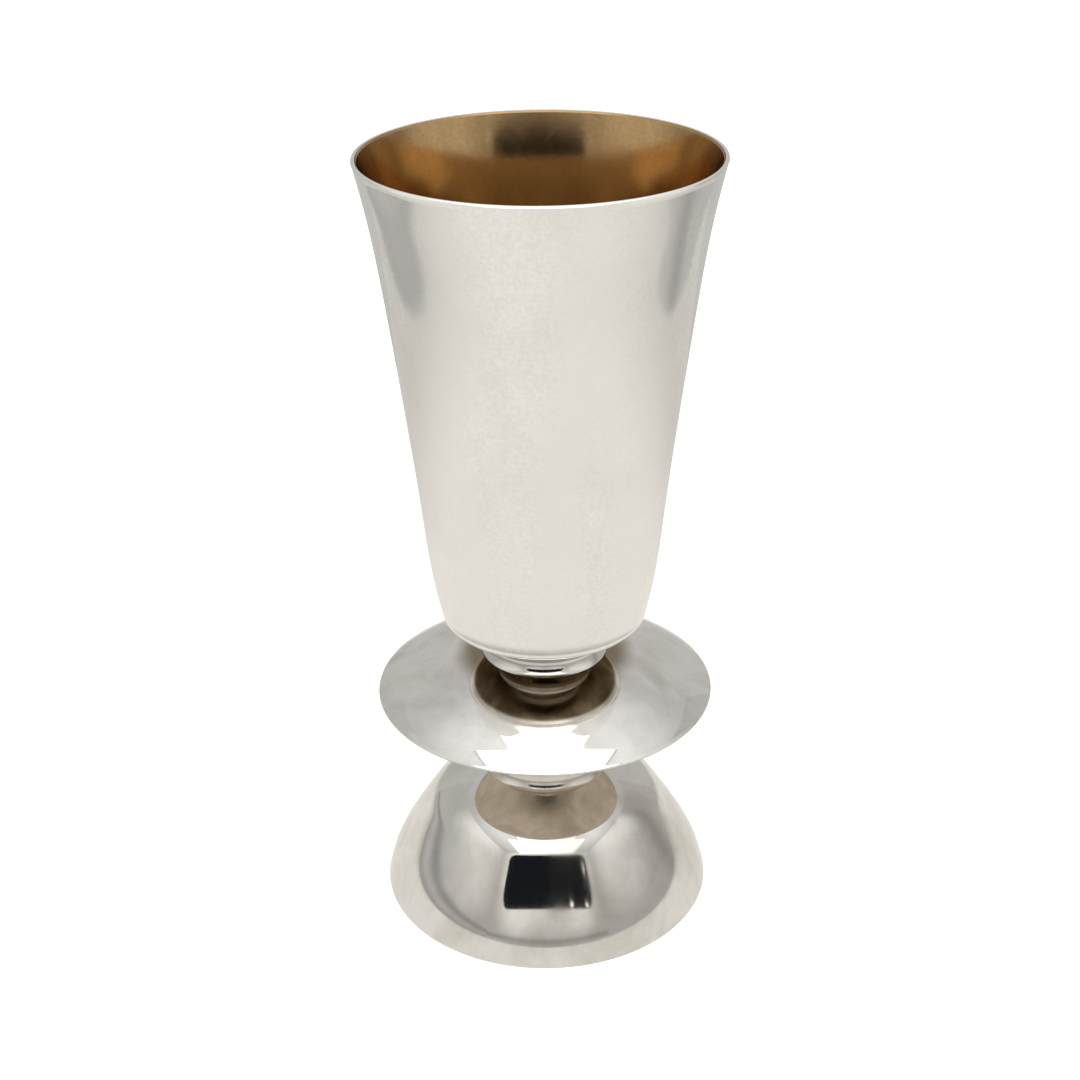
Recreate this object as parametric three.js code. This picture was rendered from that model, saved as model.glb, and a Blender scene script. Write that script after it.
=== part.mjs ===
// A stemmed kiddush cup of polished silver, spun and soldered from five round pieces:
// a hollow domed foot, a short waisted neck, a wide disc, a second neck and a tapered bowl.
// Millimetres, +Z up, the origin at the centre of the ring that the foot stands on.

import * as THREE from 'three';

// heights of the joints, from the table up
const footTop = 24.6;
const discBottom = 38.1;
const discTop = 48.6;
const bowlBottom = 55.5;
const rimHeight = 138;

// radii
const footRadius = 30.1;
const discRadius = 30;
const jointRadius = 11.1;
const bowlBottomRadius = 18;
const rimRadius = 29.8;

// metal thickness
const bowlWall = 0.8;
const bowlFloor = 1.1;
const footWall = 0.9;
const standingRingWidth = 1.9;
const standingRingHeight = 1.2;

const discEdgeThickness = 0.5;
const discConeSlope = 17;
const discEdgeRoll = 1.6;
const neckWaist = 10.05;
const neckCoveHeight = 2.4;
const bowlCornerRadius = 0.8;
const bowlBottomRise = 0.4;

const segments = 56;
const splineSteps = 10;

// [radius, height] points on the outside of the foot between its edge and its flat top
const footShoulders = [[28.8, 4.5], [25.75, 10.5], [22, 16.5], [18.6, 20.4], [14.3, 23.1]];

// [radius, height] points on the outside of the bowl between its bottom corner and the rim
const bowlFlare = [[18.9, 61], [21.1, 78], [23.6, 99], [25.9, 117], [27.9, 129]];

const toVector = ([radius, height]) => new THREE.Vector2(radius, height);

// A smooth line through the given [radius, height] points.
function smoothLine(points, steps = splineSteps) {
  return new THREE.SplineCurve(points.map(toVector)).getSpacedPoints(steps);
}

// A curve from one point to another that leaves and arrives at the given slopes in degrees.
function slopedCurve(start, startSlope, end, endSlope, steps) {
  const startTan = Math.tan(THREE.MathUtils.degToRad(startSlope));
  const endTan = Math.tan(THREE.MathUtils.degToRad(endSlope));
  const cornerRadius = (end[1] - start[1] + startTan * start[0] - endTan * end[0]) / (startTan - endTan);
  const cornerHeight = start[1] + startTan * (cornerRadius - start[0]);
  const corner = toVector([cornerRadius, cornerHeight]);
  return new THREE.QuadraticBezierCurve(toVector(start), corner, toVector(end)).getPoints(steps);
}

// A round fillet about a centre, between two angles in degrees.
function fillet(centre, radius, fromAngle, toAngle, steps) {
  return Array.from({ length: steps + 1 }, (unused, step) => {
    const angle = THREE.MathUtils.degToRad(fromAngle + (toAngle - fromAngle) * step / steps);
    return toVector([centre[0] + radius * Math.cos(angle), centre[1] + radius * Math.sin(angle)]);
  });
}

// The same line moved square to itself by a wall's thickness, to the left as the line runs.
function offsetLine(line, distance) {
  return line.map((point, index) => {
    const before = line[Math.max(index - 1, 0)];
    const after = line[Math.min(index + 1, line.length - 1)];
    const along = after.clone().sub(before).normalize();
    return new THREE.Vector2(point.x - along.y * distance, point.y + along.x * distance);
  });
}

function silver(colour, roughness) {
  return new THREE.MeshStandardMaterial({ color: colour, roughness, metalness: 1 });
}

// Turns an outline, which starts and ends on the axis, into a closed round solid.
function turned(name, outline, material) {
  const geometry = new THREE.LatheGeometry(outline, segments);
  geometry.rotateX(Math.PI / 2);
  const mesh = new THREE.Mesh(geometry, material);
  mesh.name = name;
  return mesh;
}

// A dome that is hollow and open below, thickened at the edge into a flat ring to stand on.
function foot() {
  const outside = smoothLine([[footRadius, 0], ...footShoulders, [jointRadius, footTop]]);
  const innerRadius = footRadius - standingRingWidth;
  const wallLine = offsetLine(outside, footWall);
  const inside = wallLine.filter((point) => point.y > standingRingHeight && point.y < footTop - footWall);
  return turned('foot', [
    toVector([0, footTop - footWall]),
    toVector([jointRadius - footWall, footTop - footWall]),
    ...inside.reverse(),
    toVector([innerRadius, standingRingHeight]),
    toVector([innerRadius, 0]),
    ...outside,
    toVector([0, footTop]),
  ], silver(0xe2ded4, 0.08));
}

// A short round neck between two joints, flaring by a shallow cove at each end.
function neck(name, bottom, top) {
  const depth = jointRadius - neckWaist;
  const coveRadius = (neckCoveHeight ** 2 + depth ** 2) / (2 * depth);
  const coveAngle = THREE.MathUtils.radToDeg(Math.asin(neckCoveHeight / coveRadius));
  const coveCentre = neckWaist + coveRadius;
  const lower = fillet([coveCentre, bottom + neckCoveHeight], coveRadius, 180 + coveAngle, 180, 4);
  const upper = fillet([coveCentre, top - neckCoveHeight], coveRadius, 180, 180 - coveAngle, 4);
  return turned(name, [toVector([0, bottom]), ...lower, ...upper, toVector([0, top])], silver(0xd2cabb, 0.15));
}

// The disc's upper side: a shallow cone that rolls over towards the edge.
function discUpperSide(edgeRadius, steps) {
  const span = edgeRadius - jointRadius;
  const coneFall = span * Math.tan(THREE.MathUtils.degToRad(discConeSlope));
  return Array.from({ length: steps + 1 }, (unused, step) => {
    const along = 1 - (step / steps) ** 1.5;
    const fall = coneFall * along + discEdgeRoll * along ** 5;
    return toVector([jointRadius + span * along, discTop - fall]);
  });
}

// A saucer-shaped disc, higher above than below, with a thin edge.
function disc() {
  const edgeRadius = discRadius - 0.15;
  const upperSide = discUpperSide(edgeRadius, 8);
  const edgeHeight = upperSide[0].y - discEdgeThickness / 2;
  const edgeBottom = [edgeRadius, edgeHeight - discEdgeThickness / 2];
  const underside = slopedCurve([jointRadius, discBottom], 5, edgeBottom, 12, 4);
  return turned('disc', [
    toVector([0, discBottom]),
    ...underside,
    toVector([discRadius, edgeHeight]),
    ...upperSide,
    toVector([0, discTop]),
  ], silver(0xddd9d0, 0.1));
}

// A tall beaker, flaring to a thin lip, open and empty.
function bowl() {
  const cornerTop = bowlBottom + bowlBottomRise + bowlCornerRadius;
  const cornerCentre = [bowlBottomRadius - bowlCornerRadius, cornerTop];
  const corner = fillet(cornerCentre, bowlCornerRadius, -85, 0, 3);
  const side = smoothLine([[bowlBottomRadius, cornerTop], ...bowlFlare, [rimRadius, rimHeight]]);
  const floorHeight = bowlBottom + bowlFloor;
  const inside = offsetLine(side, bowlWall).filter((point) => point.y > floorHeight + bowlWall);
  const lip = toVector([rimRadius - bowlWall, rimHeight]);
  return turned('bowl', [
    toVector([0, bowlBottom]),
    toVector([jointRadius, bowlBottom]),
    ...corner,
    ...side.slice(1),
    lip,
    ...inside.reverse().slice(1),
    toVector([bowlBottomRadius - bowlWall, floorHeight + bowlWall]),
    toVector([bowlBottomRadius - 2 * bowlWall, floorHeight]),
    toVector([0, floorHeight]),
  ], silver(0xeae7dd, 0.18));
}

const cup = new THREE.Group();
cup.add(foot());
cup.add(neck('lower_neck', footTop, discBottom));
cup.add(disc());
cup.add(neck('upper_neck', discTop, bowlBottom));
cup.add(bowl());

export default cup;
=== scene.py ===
# Kiddush cup: a domed foot, two short stems with a disc between them, and a tall beaker gilded inside.
# Every piece is turned about the Z axis, in the frame's own places. Blender works in metres, and the
# dictionaries of the five silver pieces give millimetres.

import math
import bpy
import numpy
from mathutils import Euler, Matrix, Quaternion, Vector


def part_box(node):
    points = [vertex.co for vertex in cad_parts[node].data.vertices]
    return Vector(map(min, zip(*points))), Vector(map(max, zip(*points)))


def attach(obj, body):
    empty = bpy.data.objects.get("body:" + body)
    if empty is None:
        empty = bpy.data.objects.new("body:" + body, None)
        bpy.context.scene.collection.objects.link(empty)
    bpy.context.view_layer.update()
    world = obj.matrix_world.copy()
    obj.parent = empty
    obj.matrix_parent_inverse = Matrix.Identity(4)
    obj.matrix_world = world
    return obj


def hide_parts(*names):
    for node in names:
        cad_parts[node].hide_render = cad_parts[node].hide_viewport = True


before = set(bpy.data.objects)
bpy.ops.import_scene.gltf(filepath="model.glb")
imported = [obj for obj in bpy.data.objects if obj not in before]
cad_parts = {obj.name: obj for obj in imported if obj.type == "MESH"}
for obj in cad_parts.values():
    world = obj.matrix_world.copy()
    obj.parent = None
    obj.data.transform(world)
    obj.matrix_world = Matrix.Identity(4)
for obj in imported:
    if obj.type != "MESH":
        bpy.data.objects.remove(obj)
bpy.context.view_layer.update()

mm = 0.001

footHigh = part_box("foot")[1]
discLow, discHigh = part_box("disc")
bowlLow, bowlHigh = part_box("bowl")
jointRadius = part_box("lower_neck")[1].x  # where stem, foot, disc and beaker meet

turning = {
    "steps": 256,  # sides round every turned piece
    "smoothAngle": 32,
    "mergeDistance": 0.001,
}


# an outline is a list of (radius, height)

def smoothLine(points, steps):
    # a natural cubic through the points, radius worked out from the height
    radii = [radius for radius, height in points]
    heights = [height for radius, height in points]
    count = len(points)
    gaps = [heights[i + 1] - heights[i] for i in range(count - 1)]
    slopes = [(radii[i + 1] - radii[i]) / gaps[i] for i in range(count - 1)]
    matrix = numpy.identity(count)
    wanted = numpy.zeros(count)
    for i in range(1, count - 1):
        matrix[i, i - 1:i + 2] = [gaps[i - 1], 2 * (gaps[i - 1] + gaps[i]), gaps[i]]
        wanted[i] = 6 * (slopes[i] - slopes[i - 1])
    bends = numpy.linalg.solve(matrix, wanted)
    line = []
    for step in range(steps + 1):
        height = heights[0] + (heights[-1] - heights[0]) * step / steps
        i = max(k for k in range(count - 1) if heights[k] <= height or k == 0)
        t = height - heights[i]
        linear = slopes[i] - gaps[i] * (2 * bends[i] + bends[i + 1]) / 6
        cubic = (bends[i + 1] - bends[i]) / (6 * gaps[i])
        line.append((radii[i] + t * linear + t ** 2 * bends[i] / 2 + t ** 3 * cubic, height))
    return line


def arcLine(centre, radius, fromAngle, toAngle, steps):
    line = []
    for step in range(steps + 1):
        angle = math.radians(fromAngle + (toAngle - fromAngle) * step / steps)
        line.append((centre[0] + radius * math.cos(angle), centre[1] + radius * math.sin(angle)))
    return line


def slopedLine(start, startSlope, end, endSlope, steps):
    # leaves and arrives at the given slopes in degrees
    startTan = math.tan(math.radians(startSlope))
    endTan = math.tan(math.radians(endSlope))
    cornerRadius = (end[1] - start[1] + startTan * start[0] - endTan * end[0]) / (startTan - endTan)
    corner = (cornerRadius, start[1] + startTan * (cornerRadius - start[0]))
    line = []
    for step in range(steps + 1):
        t = step / steps
        weights = ((1 - t) ** 2, 2 * t * (1 - t), t ** 2)
        pulls = list(zip(weights, (start, corner, end)))
        radius = sum(weight * point[0] for weight, point in pulls)
        height = sum(weight * point[1] for weight, point in pulls)
        line.append((radius, height))
    return line


def offsetLine(line, distance):
    # the same line moved square to itself, to the left as it runs
    moved = []
    for i, point in enumerate(line):
        before = Vector(line[max(i - 1, 0)])
        after = Vector(line[min(i + 1, len(line) - 1)])
        along = (after - before).normalized()
        moved.append((point[0] - along.y * distance, point[1] + along.x * distance))
    return moved


def turnPiece(name, outline):
    # draws the outline point by point, then spins it right round
    bpy.ops.object.select_all(action="DESELECT")
    startRadius, startHeight = outline[0]
    bpy.ops.mesh.primitive_plane_add(size=mm, location=(startRadius, 0, startHeight))
    piece = bpy.context.object
    piece.name = name
    bpy.ops.object.transform_apply(location=True, rotation=True, scale=True)
    bpy.ops.object.mode_set(mode="EDIT")
    bpy.ops.mesh.select_all(action="SELECT")
    bpy.ops.mesh.merge(type="CENTER")
    for here, there in zip(outline, outline[1:]):
        move = (there[0] - here[0], 0, there[1] - here[1])
        bpy.ops.mesh.extrude_region_move(TRANSFORM_OT_translate={"value": move})
    bpy.ops.mesh.select_all(action="SELECT")
    bpy.ops.mesh.spin(steps=turning["steps"], angle=math.tau, center=(0, 0, 0), axis=(0, 0, 1))
    bpy.ops.mesh.select_all(action="SELECT")
    bpy.ops.mesh.remove_doubles(threshold=turning["mergeDistance"] * mm)
    bpy.ops.mesh.normals_make_consistent(inside=False)
    bpy.ops.mesh.select_all(action="DESELECT")
    bpy.ops.object.mode_set(mode="OBJECT")
    bpy.ops.object.shade_smooth_by_angle(angle=math.radians(turning["smoothAngle"]))
    print("turned", name, len(piece.data.polygons), "faces")
    return piece


def standFor(piece, node):
    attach(piece, "root")
    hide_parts(node)


def paintFaces(piece, materials, choose):
    # choose(centre, normal) gives the number of the material in the list
    for material in materials:
        piece.data.materials.append(material)
    for face in piece.data.polygons:
        face.material_index = choose(face.center, face.normal)


# small helpers that build materials out of nodes

def newGroup(name, inputs, outputs):
    group = bpy.data.node_groups.new(name, "ShaderNodeTree")
    for socketName, kind, value in inputs:
        socket = group.interface.new_socket(socketName, in_out="INPUT", socket_type=kind)
        if value is not None:
            socket.default_value = value
    for socketName, kind in outputs:
        group.interface.new_socket(socketName, in_out="OUTPUT", socket_type=kind)
    group.nodes.new("NodeGroupInput")
    group.nodes.new("NodeGroupOutput")
    return group


def groupEnds(group):
    return group.nodes["Group Input"].outputs, group.nodes["Group Output"].inputs


def addNode(tree, kind, values=None, **settings):
    # a value is either a plain one or the output of another node
    node = tree.nodes.new(kind)
    for key, value in settings.items():
        setattr(node, key, value)
    for key, value in (values or {}).items():
        if isinstance(value, bpy.types.NodeSocket):
            tree.links.new(value, node.inputs[key])
        else:
            node.inputs[key].default_value = value
    return node


def mathNode(tree, operation, first, second=0.0, clamp=False):
    node = addNode(tree, "ShaderNodeMath", {0: first, 1: second}, operation=operation, use_clamp=clamp)
    return node.outputs[0]


def vectorNode(tree, operation, values, output=0):
    return addNode(tree, "ShaderNodeVectorMath", values, operation=operation).outputs[output]


def rangeNode(tree, value, fromMin, fromMax, toMin=0.0, toMax=1.0):
    values = {"Value": value, "From Min": fromMin, "From Max": fromMax, "To Min": toMin, "To Max": toMax}
    return addNode(tree, "ShaderNodeMapRange", values, interpolation_type="SMOOTHSTEP").outputs[0]


def mixColour(tree, factor, first, second):
    return addNode(tree, "ShaderNodeMix", {0: factor, 6: first, 7: second}, data_type="RGBA").outputs[2]


def axisRadius(tree, place):
    # how far a place is from the Z axis, and the flat direction to it
    flat = vectorNode(tree, "MULTIPLY", {0: place, 1: (1, 1, 0)})
    return vectorNode(tree, "LENGTH", {0: flat}, "Value"), flat


def rgb(red, green, blue):
    return (red, green, blue, 1.0)


# how every metal of the cup is worn
wear = {
    "mottleFineness": 4.3,  # times finer than the patches
    "mottleFrom": 0.38,
    "mottleTo": 0.7,
    "scratchSize": 90.0,
    "scratchWidth": 0.004,
    "scratchTurn": (0.4, 0.9, 0.3),
    "scratchStretch": (1.0, 0.12, 0.5),
    "scratchBump": 0.5,
    "scratchGapSize": 70.0,
    "scratchGapFrom": 0.5,
    "scratchGapTo": 0.62,
    "toothSize": 1500.0,  # the fine tooth of a satin finish
    "toothFrom": 0.35,
    "toothTo": 0.65,
    "bandLines": 14.0,  # broad upright bands of painted shade
    "bandBreaks": 2.4,
    "bandFrom": 0.42,
    "bandTo": 0.6,
}


def makeTurningGrain():
    # fine lines round the axis, as left by polishing on a lathe; no seam, because it reads the direction
    group = newGroup("turningGrain", [
        ("Vector", "NodeSocketVector", None),
        ("Lines", "NodeSocketFloat", 4000.0),
        ("Breaks", "NodeSocketFloat", 6.0),
    ], [("Grain", "NodeSocketFloat")])
    given, made = groupEnds(group)
    radius, flat = axisRadius(group, given["Vector"])
    direction = vectorNode(group, "NORMALIZE", {0: flat})
    turned = vectorNode(group, "SCALE", {0: direction, "Scale": given["Breaks"]})
    height = addNode(group, "ShaderNodeSeparateXYZ", {0: given["Vector"]}).outputs["Z"]
    along = mathNode(group, "MULTIPLY", mathNode(group, "ADD", height, radius), given["Lines"])
    lift = addNode(group, "ShaderNodeCombineXYZ", {"Z": along}).outputs[0]
    place = vectorNode(group, "ADD", {0: turned, 1: lift})
    noise = addNode(group, "ShaderNodeTexNoise", {
        "Vector": place, "Scale": 1.0, "Detail": 3.0, "Roughness": 0.6})
    group.links.new(noise.outputs[0], made["Grain"])
    return group


def makeCloudyPatches():
    # soft blotches with broken edges
    group = newGroup("cloudyPatches", [
        ("Vector", "NodeSocketVector", None),
        ("Size", "NodeSocketFloat", 60.0),
        ("From", "NodeSocketFloat", 0.45),
        ("To", "NodeSocketFloat", 0.75),
    ], [("Mask", "NodeSocketFloat")])
    given, made = groupEnds(group)
    noise = addNode(group, "ShaderNodeTexNoise", {
        "Vector": given["Vector"], "Scale": given["Size"],
        "Detail": 6.0, "Roughness": 0.55, "Distortion": 0.7})
    mask = rangeNode(group, noise.outputs[0], given["From"], given["To"])
    group.links.new(mask, made["Mask"])
    return group


def makeHairScratches():
    # sparse hairlines, thin where a stretched noise crosses its middle, with gaps from a second noise
    group = newGroup("hairScratches", [
        ("Vector", "NodeSocketVector", None),
        ("Size", "NodeSocketFloat", 90.0),
        ("Width", "NodeSocketFloat", 0.004),
    ], [("Mask", "NodeSocketFloat")])
    given, made = groupEnds(group)
    stretched = addNode(group, "ShaderNodeMapping", {
        "Vector": given["Vector"], "Rotation": wear["scratchTurn"], "Scale": wear["scratchStretch"]})
    lines = addNode(group, "ShaderNodeTexNoise", {
        "Vector": stretched.outputs[0], "Scale": given["Size"], "Detail": 1.0, "Distortion": 0.2})
    off = mathNode(group, "ABSOLUTE", mathNode(group, "SUBTRACT", lines.outputs[0], 0.5))
    thin = mathNode(group, "SUBTRACT", 1.0, mathNode(group, "DIVIDE", off, given["Width"]), clamp=True)
    gaps = addNode(group, "ShaderNodeTexNoise", {
        "Vector": given["Vector"], "Scale": wear["scratchGapSize"], "Detail": 2.0})
    kept = rangeNode(group, gaps.outputs[0], wear["scratchGapFrom"], wear["scratchGapTo"])
    group.links.new(mathNode(group, "MULTIPLY", thin, kept), made["Mask"])
    return group


turningGrain = makeTurningGrain()
cloudyPatches = makeCloudyPatches()
hairScratches = makeHairScratches()


def useGroup(tree, group, values, output):
    return addNode(tree, "ShaderNodeGroup", values, node_tree=group).outputs[output]


def addTooth(tree, coords, colour, look):
    noise = addNode(tree, "ShaderNodeTexNoise", {
        "Vector": coords, "Scale": wear["toothSize"], "Detail": 2.0})
    tooth = rangeNode(tree, noise.outputs[0], wear["toothFrom"], wear["toothTo"])
    tooth = mathNode(tree, "MULTIPLY", tooth, look["speckle"])
    return mixColour(tree, tooth, colour, look["mottleColour"])


# painted shade: broad upright darker bands round the satin beaker
def addPaintedShadeBands(tree, coords, colour, look):
    shadeBands = useGroup(tree, turningGrain, {
        "Vector": coords, "Lines": wear["bandLines"], "Breaks": wear["bandBreaks"]}, "Grain")
    shadeBands = rangeNode(tree, shadeBands, wear["bandFrom"], wear["bandTo"])
    shadeBands = mathNode(tree, "MULTIPLY", shadeBands, look["shadeBands"])
    return mixColour(tree, shadeBands, colour, look["patchColour"])


def addTarnishAndPaintedReflection(tree, coords, colour, look):
    # darker inside one radius and bright beyond it, with either colour given; under the beaker this is
    # real tarnish, on the saucer's top it is a painted reflection of the beaker's dark underside
    radius = axisRadius(tree, coords)[0]
    pastEdge = rangeNode(tree, radius, look["tarnishAndReflectionEdge"], look["tarnishAndReflectionEdge"] + look["tarnishAndReflectionFade"])
    return mixColour(tree, pastEdge, look.get("paintedReflectionColour", colour), look.get("cleanColour", colour))


def metalMaterial(name, look):
    # worn metal: base colour clouded by tarnish, with painted shade bands and a painted reflection where
    # the look has them, roughness by wipe marks, bump by turning grain
    material = bpy.data.materials.new(name)
    material.use_nodes = True
    tree = material.node_tree
    shader = tree.nodes["Principled BSDF"]
    shader.inputs["Metallic"].default_value = 1.0
    coords = addNode(tree, "ShaderNodeTexCoord").outputs["Object"]
    shifted = addNode(tree, "ShaderNodeMapping", {
        "Vector": coords, "Location": look["patchShift"]}).outputs[0]
    patches = useGroup(tree, cloudyPatches, {
        "Vector": shifted, "Size": look["patchSize"],
        "From": look["patchFrom"], "To": look["patchTo"]}, "Mask")
    mottle = useGroup(tree, cloudyPatches, {
        "Vector": shifted, "Size": look["patchSize"] * wear["mottleFineness"],
        "From": wear["mottleFrom"], "To": wear["mottleTo"]}, "Mask")
    grain = useGroup(tree, turningGrain, {
        "Vector": coords, "Lines": look["grainLines"], "Breaks": look["grainBreaks"]}, "Grain")
    scratches = useGroup(tree, hairScratches, {
        "Vector": coords, "Size": wear["scratchSize"], "Width": wear["scratchWidth"]}, "Mask")

    colour = mixColour(tree, patches, look["colour"], look["patchColour"])
    for mask, share in ((mottle, look["mottle"]), (grain, look["grainTint"])):
        colour = mixColour(tree, mathNode(tree, "MULTIPLY", mask, share), colour, look["mottleColour"])
    if "speckle" in look:
        colour = addTooth(tree, coords, colour, look)
    if "shadeBands" in look:
        colour = addPaintedShadeBands(tree, coords, colour, look)
    # a painted reflection on the saucer's top, real tarnish under the beaker
    if "tarnishAndReflectionEdge" in look:
        colour = addTarnishAndPaintedReflection(tree, coords, colour, look)
    tree.links.new(colour, shader.inputs["Base Color"])

    rough = rangeNode(tree, patches, 0.0, 1.0, look["roughness"], look["patchRoughness"])
    for mask, share in ((mottle, look["mottleRoughness"]), (scratches, look["scratchRoughness"])):
        rough = mathNode(tree, "ADD", rough, mathNode(tree, "MULTIPLY", mask, share))
    tree.links.new(rough, shader.inputs["Roughness"])

    depth = look["grainDepth"] * mm
    bump = addNode(tree, "ShaderNodeBump", {
        "Height": grain, "Strength": look["grainStrength"], "Distance": depth})
    deeper = addNode(tree, "ShaderNodeBump", {
        "Height": scratches, "Strength": wear["scratchBump"],
        "Distance": -depth, "Normal": bump.outputs[0]})
    tree.links.new(deeper.outputs[0], shader.inputs["Normal"])

    if "anisotropic" in look:
        shader.inputs["Anisotropic"].default_value = look["anisotropic"]
        tangent = addNode(tree, "ShaderNodeTangent", direction_type="RADIAL", axis="Z")
        tree.links.new(tangent.outputs[0], shader.inputs["Tangent"])
    return material


polished = {
    "colour": rgb(0.82, 0.805, 0.775),
    "patchColour": rgb(0.64, 0.615, 0.565),
    "mottleColour": rgb(0.58, 0.55, 0.49),
    "mottle": 0.32,
    "roughness": 0.04,
    "patchRoughness": 0.10,
    "mottleRoughness": 0.02,
    "scratchRoughness": 0.05,
    "patchSize": 42.0,
    "patchFrom": 0.44,
    "patchTo": 0.68,
    "patchShift": (0.0, 0.0, 0.0),
    "grainTint": 0.08,
    "grainLines": 3500.0,
    "grainBreaks": 5.0,
    "grainStrength": 0.2,
    "grainDepth": 0.003,
}
smudgesAndPaintedReflection = dict(
    polished,
    colour=rgb(0.90, 0.885, 0.86),
    patchColour=rgb(0.63, 0.61, 0.57),
    patchSize=34.0,
    patchFrom=0.42,
    patchTo=0.64,
    patchShift=(0.02, 0.0, 0.0),
    roughness=0.05,
    patchRoughness=0.13,
    # painted reflection: the dark brown middle of the saucer's top stands for the beaker's underside
    # mirrored in it
    tarnishAndReflectionEdge=12.5 * mm,
    tarnishAndReflectionFade=4.5 * mm,
    paintedReflectionColour=rgb(0.30, 0.24, 0.17),
)
greyStem = dict(
    polished,
    colour=rgb(0.72, 0.69, 0.63),
    patchColour=rgb(0.60, 0.56, 0.49),
    roughness=0.14,
    patchRoughness=0.2,
    patchSize=70.0,
)
satin = {
    "colour": rgb(0.99, 0.975, 0.945),
    "patchColour": rgb(0.90, 0.885, 0.855),
    "mottleColour": rgb(0.78, 0.755, 0.71),
    "mottle": 0.16,
    # strength of the painted shade bands
    "shadeBands": 0.7,
    "speckle": 0.35,
    "roughness": 0.075,
    "patchRoughness": 0.11,
    "mottleRoughness": 0.02,
    "scratchRoughness": 0.08,
    "patchSize": 38.0,
    "patchFrom": 0.4,
    "patchTo": 0.7,
    "patchShift": (0.0, 0.0, 0.0),
    "anisotropic": 0.5,
    "grainTint": 0.35,
    "grainLines": 5200.0,
    "grainBreaks": 9.0,
    "grainStrength": 0.4,
    "grainDepth": 0.004,
}
gilt = {
    "colour": rgb(0.485, 0.335, 0.17),
    "patchColour": rgb(0.41, 0.27, 0.13),
    "mottleColour": rgb(0.34, 0.21, 0.10),
    "mottle": 0.3,
    "speckle": 0.35,
    "roughness": 0.12,
    "patchRoughness": 0.17,
    "mottleRoughness": 0.03,
    "scratchRoughness": 0.08,
    "patchSize": 40.0,
    "patchFrom": 0.42,
    "patchTo": 0.7,
    "patchShift": (0.0, 0.0, 0.0),
    "anisotropic": 0.4,
    "grainTint": 0.35,
    "grainLines": 4200.0,
    "grainBreaks": 8.0,
    "grainStrength": 0.4,
    "grainDepth": 0.004,
}
tarnished = {
    "colour": rgb(0.36, 0.29, 0.20),
    "patchColour": rgb(0.13, 0.095, 0.055),
    "mottleColour": rgb(0.10, 0.07, 0.04),
    "mottle": 0.5,
    "roughness": 0.09,
    "patchRoughness": 0.2,
    "mottleRoughness": 0.06,
    "scratchRoughness": 0.10,
    "patchSize": 80.0,
    "patchFrom": 0.36,
    "patchTo": 0.62,
    "patchShift": (0.01, 0.0, 0.0),
    "grainTint": 0.15,
    "grainLines": 3000.0,
    "grainBreaks": 5.0,
    "grainStrength": 0.3,
    "grainDepth": 0.005,
}
underBeaker = dict(
    tarnished,
    tarnishAndReflectionEdge=16.2 * mm,
    tarnishAndReflectionFade=0.8 * mm,
    cleanColour=rgb(0.9, 0.88, 0.84),
)
dulled = dict(
    tarnished,
    colour=rgb(0.60, 0.52, 0.43),
    patchColour=rgb(0.50, 0.425, 0.34),
    mottleColour=rgb(0.42, 0.35, 0.27),
    mottle=0.35,
    roughness=0.14,
    patchRoughness=0.22,
    patchSize=60.0,
)

polishedSilver = metalMaterial("polishedSilver", polished)
smudgesAndPaintedReflectionSilver = metalMaterial("smudgesAndPaintedReflectionSilver", smudgesAndPaintedReflection)
satinSilver = metalMaterial("satinSilver", satin)
gilding = metalMaterial("gilding", gilt)
underBeakerSilver = metalMaterial("underBeakerSilver", underBeaker)
dulledSilver = metalMaterial("dulledSilver", dulled)
greyStemSilver = metalMaterial("greyStemSilver", greyStem)
print("materials made")


foot = {
    "shoulders": [(28.785, 4.5), (25.746, 10.5), (21.987, 16.5), (18.585, 20.4), (13.518, 23.4)],
    "domeSteps": 110,
    "wall": 0.9,
    "edgeRound": 0.3,
    "edgeSteps": 6,
    "edgeEnd": 350,  # degrees, where the rounded edge runs into the dome
    "ringWidth": 1.9,
    "ringHeight": 1.2,
    "ringSteps": 5,
    "dullAbove": 0.4,  # the hollow side is dull from here up
    "dullFacing": 0.15,  # where its faces look down by at least this much
}


def makeFoot():
    edge = foot["edgeRound"] * mm
    wall = foot["wall"] * mm
    outerRadius = footHigh.x
    ringRadius = outerRadius - foot["ringWidth"] * mm
    ringTop = foot["ringHeight"] * mm
    top = footHigh.z
    shoulders = [(radius * mm, height * mm) for radius, height in foot["shoulders"]]
    dome = smoothLine([(outerRadius, 0.0), *shoulders, (jointRadius, top)], foot["domeSteps"])
    inside = [point for point in offsetLine(dome, wall) if ringTop < point[1] < top - wall]
    outside = [point for point in dome if point[1] > edge]
    return turnPiece("footDome", [
        (0.0, top - wall),
        *reversed(inside),
        (ringRadius, ringTop),
        *arcLine((ringRadius + edge, edge), edge, 180, 270, foot["ringSteps"]),
        *arcLine((outside[0][0] - edge, edge), edge, 270, foot["edgeEnd"], foot["edgeSteps"]),
        *outside,
        (0.0, top),
    ])


def footFinish(centre, normal):
    # 0 for the polished outside, 1 for the dull hollow side
    hollow = normal.z < -foot["dullFacing"] and centre.z > foot["dullAbove"] * mm
    return 1 if hollow else 0


footDome = makeFoot()
paintFaces(footDome, [polishedSilver, dulledSilver], footFinish)
standFor(footDome, "foot")


stem = {
    "coveRadius": 3.3,
    "coveAngle": 47.0,
    "coveSteps": 12,
}


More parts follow.
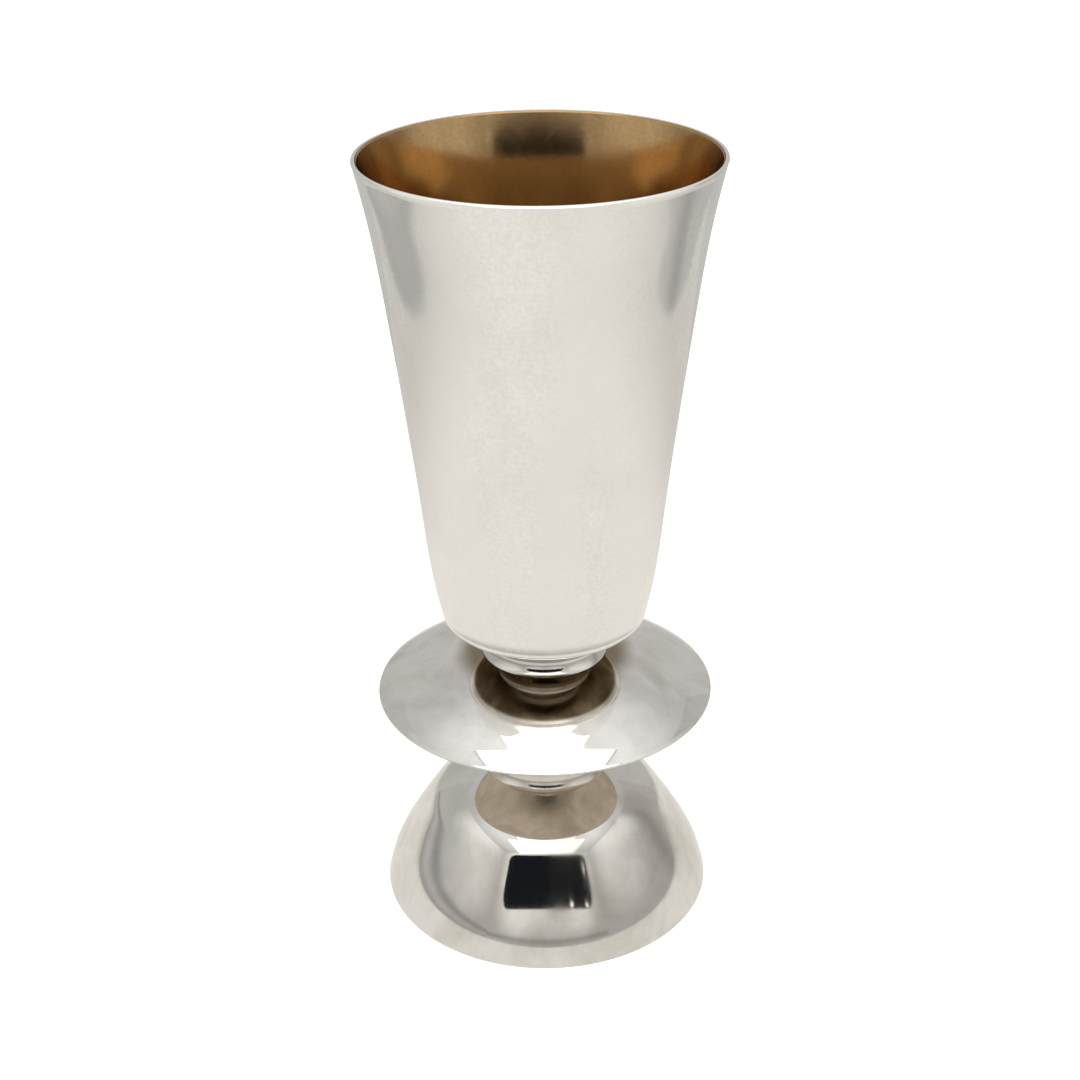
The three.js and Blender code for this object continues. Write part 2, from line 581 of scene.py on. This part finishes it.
def makeStem(name, bottom, top):
    # straight in the middle, with a cove at each end
    cove = stem["coveRadius"] * mm
    angle = stem["coveAngle"]
    waist = jointRadius - cove * (1 - math.cos(math.radians(angle)))
    reach = cove * math.sin(math.radians(angle))
    lower = arcLine((waist + cove, bottom + reach), cove, 180 + angle, 180, stem["coveSteps"])
    upper = arcLine((waist + cove, top - reach), cove, 180, 180 - angle, stem["coveSteps"])
    return turnPiece(name, [(0.0, bottom), *lower, *upper, (0.0, top)])


lowerStem = makeStem("lowerStem", footHigh.z, discLow.z)
lowerStem.data.materials.append(greyStemSilver)
standFor(lowerStem, "lower_neck")

upperStem = makeStem("upperStem", discHigh.z, bowlLow.z)
upperStem.data.materials.append(polishedSilver)
standFor(upperStem, "upper_neck")


saucer = {
    "innerSlope": 17.0,
    "edgeSlope": 38.0,
    "roll": 4,  # the higher, the later the top side turns down
    "steps": 70,
    "edgeRound": 0.24,
    "edgeFrom": -80,  # degrees
    "edgeTo": 52,
    "edgeSteps": 10,
    "underInnerSlope": 5.0,
    "underEdgeSlope": 12.0,
    "underSteps": 40,
    "dullFacing": 0.3,
}


def makeSaucer():
    edge = saucer["edgeRound"] * mm
    rimRadius = discHigh.x - edge
    steps = saucer["steps"]
    stride = (rimRadius - jointRadius) / steps
    bend = saucer["edgeSlope"] - saucer["innerSlope"]
    radius, height = jointRadius, discHigh.z
    topSide = [(radius, height)]
    for step in range(steps):
        slope = saucer["innerSlope"] + bend * ((step + 0.5) / steps) ** saucer["roll"]
        radius += stride
        height -= stride * math.tan(math.radians(slope))
        topSide.append((radius, height))
    edgeArc = arcLine((rimRadius, height - edge), edge,
                      saucer["edgeFrom"], saucer["edgeTo"], saucer["edgeSteps"])
    under = slopedLine((jointRadius, discLow.z), saucer["underInnerSlope"],
                       edgeArc[0], saucer["underEdgeSlope"], saucer["underSteps"])
    return turnPiece("saucer", [
        (0.0, discLow.z),
        *under,
        *edgeArc[1:],
        *reversed(topSide),
        (0.0, discHigh.z),
    ])


def saucerFinish(centre, normal):
    # 0 for the polished top, 1 for the dull underside
    return 1 if normal.z < -saucer["dullFacing"] else 0


saucerDisc = makeSaucer()
paintFaces(saucerDisc, [smudgesAndPaintedReflectionSilver, dulledSilver], saucerFinish)
standFor(saucerDisc, "disc")


beaker = {
    "bottomRadius": 18.0,
    "bottomRise": 0.4,
    "cornerRound": 0.8,
    "cornerFrom": -85,  # degrees
    "side": [(18.735, 60.0), (21.096, 78.0), (23.577, 99.0), (25.932, 117.0), (27.849, 129.0)],
    "sideSteps": 130,
    "lipFrom": 10,  # degrees
    "lipTo": 170,
    "lipSteps": 12,
    "wall": 0.8,
    "floor": 1.1,
    "insideRound": 3.0,
    "roundSteps": 10,
    "stainDepth": 0.5,  # the underside is stained up to this far above its lowest place
    "facing": 0.5,  # a face that looks up or down by more than this is level
    "bareRim": 0.1,  # how far the gilding stops below the rim
    "floorBelow": 70.0,
}


def makeBeaker():
    corner = beaker["cornerRound"] * mm
    wall = beaker["wall"] * mm
    inRound = beaker["insideRound"] * mm
    lipRound = wall / 2
    bottomRadius = beaker["bottomRadius"] * mm
    cornerHeight = bowlLow.z + (beaker["bottomRise"] + beaker["cornerRound"]) * mm
    floorHeight = bowlLow.z + beaker["floor"] * mm
    sidePoints = [(radius * mm, height * mm) for radius, height in beaker["side"]]
    side = smoothLine([(bottomRadius, cornerHeight), *sidePoints, (bowlHigh.x, bowlHigh.z)],
                      beaker["sideSteps"])
    side = [point for point in side if point[1] < bowlHigh.z - lipRound]
    inner = [point for point in offsetLine(side, wall) if point[1] > floorHeight + inRound]
    lip = arcLine((bowlHigh.x - lipRound, bowlHigh.z - lipRound), lipRound,
                  beaker["lipFrom"], beaker["lipTo"], beaker["lipSteps"])
    cornerArc = arcLine((bottomRadius - corner, cornerHeight), corner,
                        beaker["cornerFrom"], 0, beaker["roundSteps"])
    floorArc = arcLine((inner[0][0] - inRound, floorHeight + inRound), inRound,
                       0, -90, beaker["roundSteps"])
    return turnPiece("beaker", [
        (0.0, bowlLow.z),
        (jointRadius, bowlLow.z),
        *cornerArc,
        *side[1:],
        *lip,
        *reversed(inner),
        *floorArc,
        (0.0, floorHeight),
    ])


def beakerFinish(centre, normal):
    # 0 for the satin outside, 1 for the gilding inside, 2 for the stained underside
    radius = math.hypot(centre.x, centre.y)
    outward = normal.x * centre.x + normal.y * centre.y
    if centre.z < bowlLow.z + beaker["stainDepth"] * mm and normal.z < -beaker["facing"]:
        return 2
    if outward < 0 and centre.z < bowlHigh.z - beaker["bareRim"] * mm:
        return 1
    overFloor = radius < beaker["bottomRadius"] * mm and centre.z < beaker["floorBelow"] * mm
    if normal.z > beaker["facing"] and overFloor:
        return 1
    return 0


tallBeaker = makeBeaker()
paintFaces(tallBeaker, [satinSilver, gilding, underBeakerSilver], beakerFinish)
standFor(tallBeaker, "bowl")
print("pieces made")


# a box of glowing cloth round the cup, in metres, open in front and with two lamps in its roof
tent = {
    "halfWidth": 0.225,
    "front": -0.27,
    "back": 0.225,
    "roof": 0.2235,
    "groundDrop": 0.0005,
    "openingLow": 0.110,
    "openingHigh": 0.205,
    "openingHalf": 0.182,
    "openingRound": 0.035,
    "openingAcross": 0.0035,
    "openingOff": 0.001,  # the things marked Off stand this far inside the cloth
    "lamps": [(0.09, -0.009, -0.125), (0.135, -0.125, -0.27)],  # half width, nearer end, farther end
    "lampOff": 0.001,
    "lampEdgeOff": 0.0015,
    "lampEdgeOut": 0.001,
    "lampEdgeWidth": 0.0025,
    "spots": [(0.165, 0.160), (0.088, 0.116), (0.150, 0.116)],  # across, height
    "spotSize": (0.013, 0.006),
    "spotRound": 0.0025,
    "spotOff": 0.002,
    "roundSteps": 8,
}
lampMiddle = (0.0, -0.10, 0.2235)
lampNear = (0.21, 1.05)

# each cloth is brightest near one place; near and far are (distance, brightness),
# and a shade strip is (axis, place, half width, depth), painted shade across the cloth
cloths = {
    "groundCloth": {
        "colour": rgb(1.0, 0.975, 0.915), "brightest": (0, -0.05, 0),
        "near": (0.14, 0.84), "far": (0.26, 0.62), "shadeStrips": [],
    },
    "leftCloth": {
        "colour": rgb(1.0, 0.985, 0.95), "brightest": lampMiddle,
        "near": lampNear, "far": (0.31, 0.52),
        "shadeStrips": [("Z", 0.032, 0.016, 0.35), ("Z", 0.004, 0.012, 0.2)],
    },
    "rightCloth": {
        "colour": rgb(0.95, 0.935, 0.90), "brightest": lampMiddle,
        "near": lampNear, "far": (0.31, 0.52), "shadeStrips": [("Y", 0.06, 0.05, 0.25)],
    },
    "backCloth": {
        "colour": rgb(1.0, 0.985, 0.95), "brightest": lampMiddle,
        "near": lampNear, "far": (0.31, 0.55), "shadeStrips": [],
    },
    "sillCloth": {
        "colour": rgb(1.0, 0.985, 0.94), "brightest": lampMiddle,
        "near": lampNear, "far": (0.31, 0.5),
        "shadeStrips": [("X", 0.0, 0.15, 0.32), ("Z", 0.024, 0.02, 0.3)],
    },
    "roofCloth": {
        "colour": rgb(1.0, 0.995, 0.98), "brightest": lampMiddle,
        "near": (0.10, 0.98), "far": (0.30, 0.56), "shadeStrips": [],
    },
}

# colour and strength
glows = {
    "lampGlow": (rgb(1.0, 0.995, 0.98), 1.7),
    "darkRoom": (rgb(0.010, 0.011, 0.014), 1.0),
    "lampFrame": (rgb(0.22, 0.22, 0.22), 1.0),
    "spotGlow": (rgb(1.0, 1.0, 0.98), 1.5),
}


def glowMaterial(name, colour, strength):
    material = bpy.data.materials.new(name)
    material.use_nodes = True
    tree = material.node_tree
    tree.nodes.remove(tree.nodes["Principled BSDF"])
    glow = addNode(tree, "ShaderNodeEmission", {"Color": colour, "Strength": strength})
    tree.links.new(glow.outputs[0], tree.nodes["Material Output"].inputs["Surface"])
    return material


def clothMaterial(name):
    cloth = cloths[name]
    near, far = cloth["near"], cloth["far"]
    material = glowMaterial(name, cloth["colour"], 1.0)
    tree = material.node_tree
    coords = addNode(tree, "ShaderNodeTexCoord").outputs["Object"]
    away = vectorNode(tree, "DISTANCE", {0: coords, 1: cloth["brightest"]}, "Value")
    level = rangeNode(tree, away, near[0], far[0], near[1], far[1])
    split = addNode(tree, "ShaderNodeSeparateXYZ", {0: coords})
    # painted shade: each strip darkens the cloth's glow towards its middle line
    for axis, place, halfWidth, depth in cloth["shadeStrips"]:
        off = mathNode(tree, "ABSOLUTE", mathNode(tree, "SUBTRACT", split.outputs[axis], place))
        level = mathNode(tree, "MULTIPLY", level, rangeNode(tree, off, 0.0, halfWidth, 1 - depth, 1.0))
    tree.links.new(level, tree.nodes["Emission"].inputs["Strength"])
    return material


def addPanel(name, material, centre, size, turn=(0.0, 0.0, 0.0)):
    # a flat piece of the tent, seen only in the silver
    bpy.ops.object.select_all(action="DESELECT")
    rotation = [math.radians(angle) for angle in turn]
    bpy.ops.mesh.primitive_plane_add(size=1.0, location=centre, rotation=rotation)
    panel = bpy.context.object
    panel.name = name
    panel.scale = (size[0], size[1], 1.0)
    bpy.ops.object.transform_apply(location=True, rotation=True, scale=True)
    panel.data.materials.append(material)
    panel.visible_camera = False
    return panel


def roundUpperCorners(panel, radius):
    bpy.ops.object.select_all(action="DESELECT")
    bpy.context.view_layer.objects.active = panel
    panel.select_set(True)
    top = max(corner.co.z for corner in panel.data.vertices)
    for corner in panel.data.vertices:
        corner.select = corner.co.z > top - mm
    bpy.ops.object.mode_set(mode="EDIT")
    bpy.ops.mesh.select_mode(type="VERT")
    bpy.ops.mesh.bevel(offset=radius, segments=tent["roundSteps"], affect="VERTICES")
    bpy.ops.object.mode_set(mode="OBJECT")


def makeCloths():
    half, front, back, roof = (tent[key] for key in ("halfWidth", "front", "back", "roof"))
    depth = back - front
    middle = (back + front) / 2
    upright = (90, 0, 0)
    sideways = (0, 90, 0)
    ground = -tent["groundDrop"]
    addPanel("tentGround", clothMaterial("groundCloth"), (0, middle, ground), (2 * half, depth))
    addPanel("tentRoof", clothMaterial("roofCloth"), (0, middle, roof), (2 * half, depth))
    addPanel("tentLeft", clothMaterial("leftCloth"), (-half, middle, roof / 2), (roof, depth), sideways)
    addPanel("tentRight", clothMaterial("rightCloth"), (half, middle, roof / 2), (roof, depth), sideways)
    addPanel("tentBack", clothMaterial("backCloth"), (0, back, roof / 2), (2 * half, roof), upright)
    addPanel("tentFront", clothMaterial("sillCloth"), (0, front, roof / 2), (2 * half, roof), upright)


def makeOpening():
    # the dark room beyond, with three small round lamps in it
    low, high = tent["openingLow"], tent["openingHigh"]
    centre = (tent["openingAcross"], tent["front"] + tent["openingOff"], (low + high) / 2)
    opening = addPanel("darkOpening", glowMaterial("darkRoom", *glows["darkRoom"]), centre,
                       (2 * tent["openingHalf"], high - low), (90, 0, 0))
    roundUpperCorners(opening, tent["openingRound"])
    spotGlow = glowMaterial("spotGlow", *glows["spotGlow"])
    for across, height in tent["spots"]:
        centre = (across, tent["front"] + tent["spotOff"], height)
        spot = addPanel("spotLamp", spotGlow, centre, tent["spotSize"], (90, 0, 0))
        roundUpperCorners(spot, tent["spotRound"])


def makeRoofLamps():
    lampGlow = glowMaterial("lampGlow", *glows["lampGlow"])
    lampFrame = glowMaterial("lampFrame", *glows["lampFrame"])
    lampHeight = tent["roof"] - tent["lampOff"]
    edgeHeight = tent["roof"] - tent["lampEdgeOff"]
    for halfWidth, nearEnd, farEnd in tent["lamps"]:
        depth = nearEnd - farEnd
        middle = (nearEnd + farEnd) / 2
        addPanel("roofLamp", lampGlow, (0, middle, lampHeight), (2 * halfWidth, depth))
        for side in (-1, 1):
            centre = (side * (halfWidth + tent["lampEdgeOut"]), middle, edgeHeight)
            addPanel("lampEdge", lampFrame, centre, (tent["lampEdgeWidth"], depth))


paleFloor = {
    "size": 8.0,
    "colour": rgb(0.8, 0.8, 0.8),
    "roughness": 0.9,
    "glow": 0.75,
}


def makeFloor():
    # the silver stands in its tent, so it doesn't see this wider floor
    bpy.ops.object.select_all(action="DESELECT")
    bpy.ops.mesh.primitive_plane_add(size=paleFloor["size"], location=(0, 0, 0))
    floor = bpy.context.object
    floor.name = "paleFloor"
    material = bpy.data.materials.new("paleFloor")
    material.use_nodes = True
    shader = material.node_tree.nodes["Principled BSDF"]
    shader.inputs["Base Color"].default_value = paleFloor["colour"]
    shader.inputs["Roughness"].default_value = paleFloor["roughness"]
    shader.inputs["Emission Color"].default_value = rgb(1, 1, 1)
    shader.inputs["Emission Strength"].default_value = paleFloor["glow"]
    floor.data.materials.append(material)
    floor.visible_glossy = False
    floor.visible_diffuse = False


makeCloths()
makeOpening()
makeRoofLamps()
makeFloor()
world = bpy.data.worlds.new("paleRoom")
world.use_nodes = True
world.node_tree.nodes["Background"].inputs["Color"].default_value = rgb(1, 1, 1)
world.node_tree.nodes["Background"].inputs["Strength"].default_value = 1.0
bpy.context.scene.world = world
bpy.context.scene.view_settings.view_transform = "Standard"
print("tent and floor made")


camera = {
    "place": (0.0, -0.2786, 0.2102),
    "downTilt": 26.73,
    "turn": 0.128,
    "roll": -0.60,
    "lens": 59.66,
    "sensorWidth": 36.0,
    "clipStart": 0.01,
}


def makeCamera():
    data = bpy.data.cameras.new("camera")
    data.lens = camera["lens"]
    data.sensor_width = camera["sensorWidth"]
    data.clip_start = camera["clipStart"]
    view = bpy.data.objects.new("camera", data)
    bpy.context.scene.collection.objects.link(view)
    look = Euler((math.radians(90 - camera["downTilt"]), 0.0, math.radians(camera["turn"])))
    roll = Quaternion((0, 0, 1), math.radians(camera["roll"]))
    view.rotation_mode = "QUATERNION"
    view.rotation_quaternion = look.to_quaternion() @ roll
    view.location = camera["place"]
    bpy.context.scene.camera = view


makeCamera()
print("camera set")
